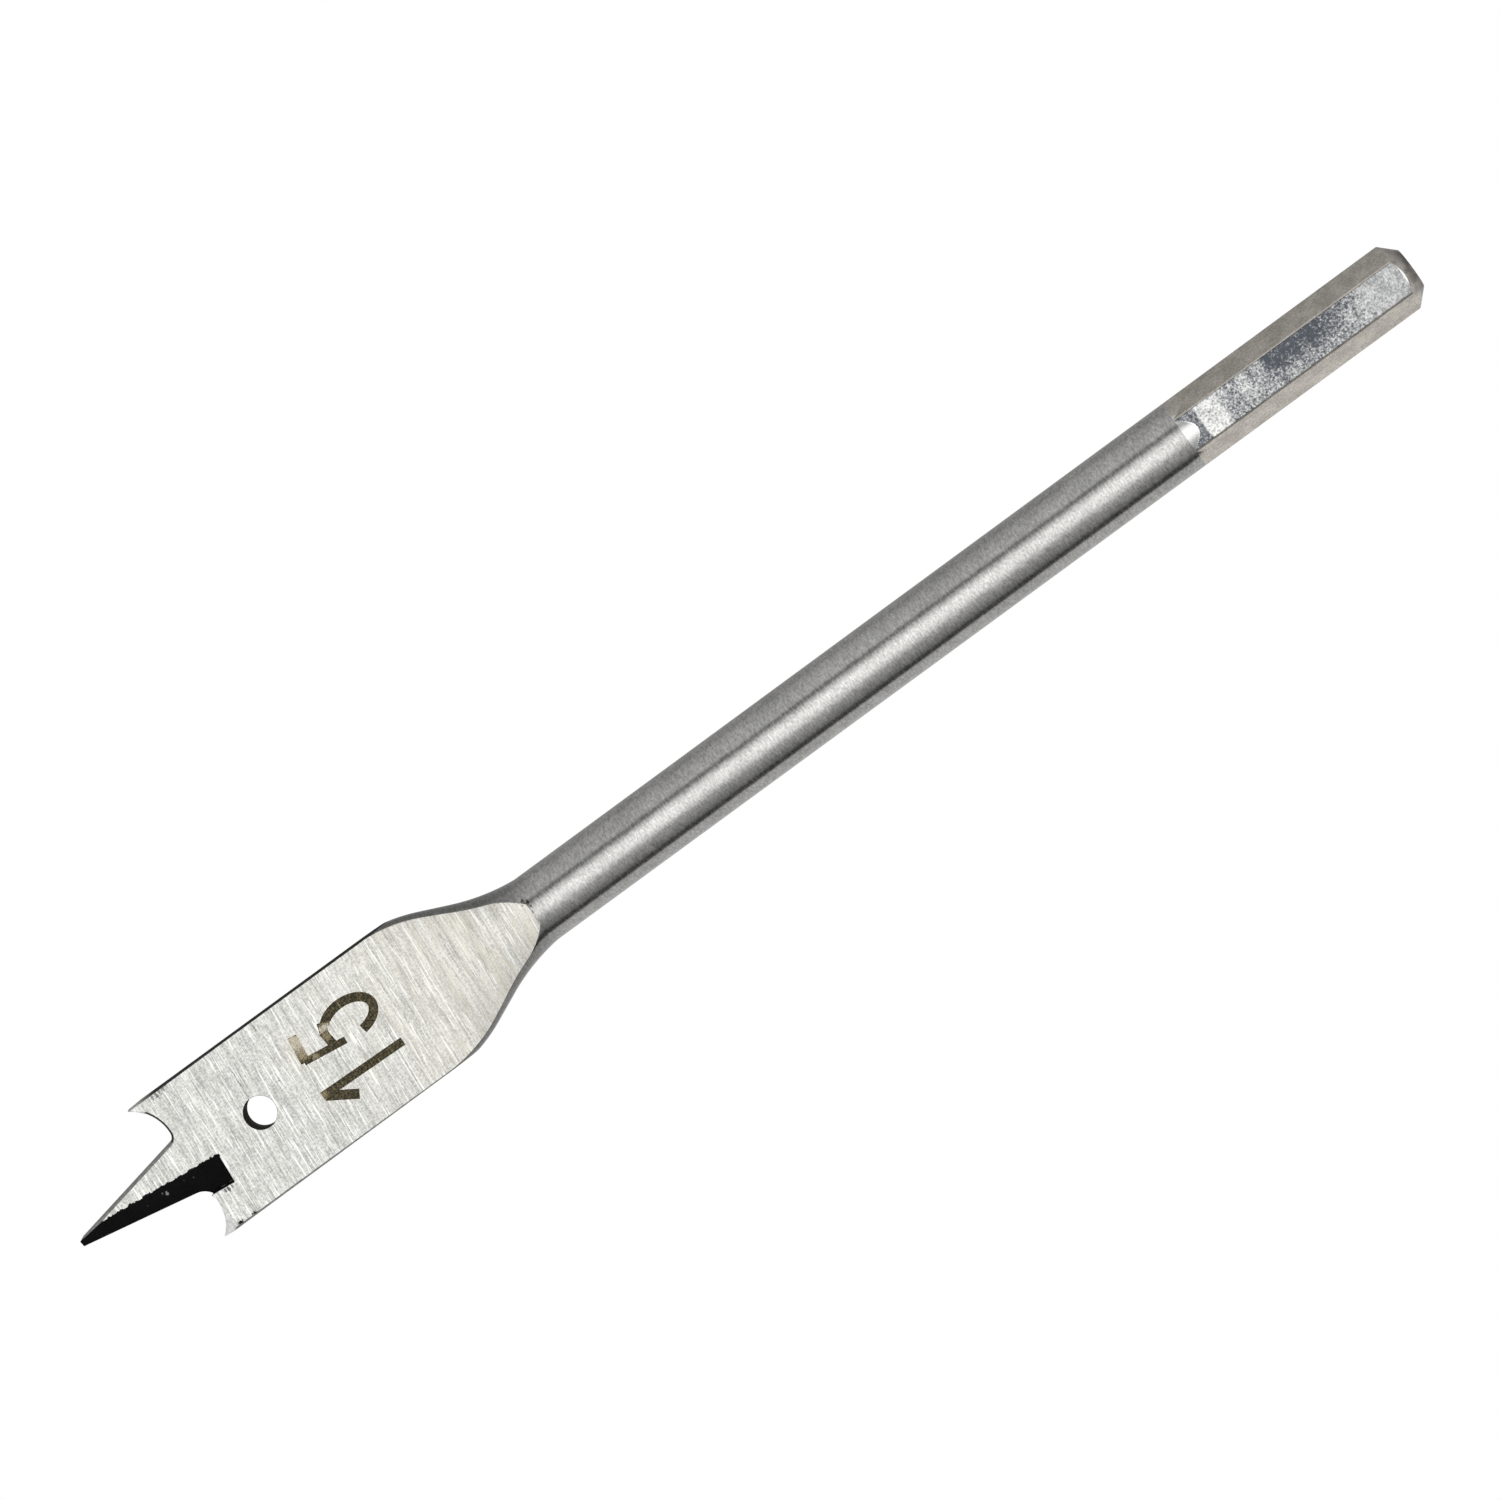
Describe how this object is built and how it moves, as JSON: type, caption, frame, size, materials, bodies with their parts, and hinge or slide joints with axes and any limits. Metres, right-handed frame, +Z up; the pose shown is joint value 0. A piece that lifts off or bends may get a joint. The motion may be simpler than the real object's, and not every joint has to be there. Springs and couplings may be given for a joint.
{
  "type": "spade drill bit",
  "caption": "Flat spade drill bit for boring wood, with a centre point, scoring spurs, a hanging hole, a round rod and a hexagonal shank.",
  "frame": {"origin": "on the ground under the middle of the bit's length, as it lies on its rod and on one edge of its blade", "axes": "+X along the bit's axis from the point to the shank's end, +Z up from the ground, +Y across the blade"},
  "size_m": [0.1512, 0.0148, 0.0068],
  "materials": {
    "steel": "ground blade with scratches across it, satin forged shoulder, brushed rod and bright hexagonal shank"
  },
  "bodies": {
    "root": {"spade_bit": "steel"}
  },
  "joints": []
}
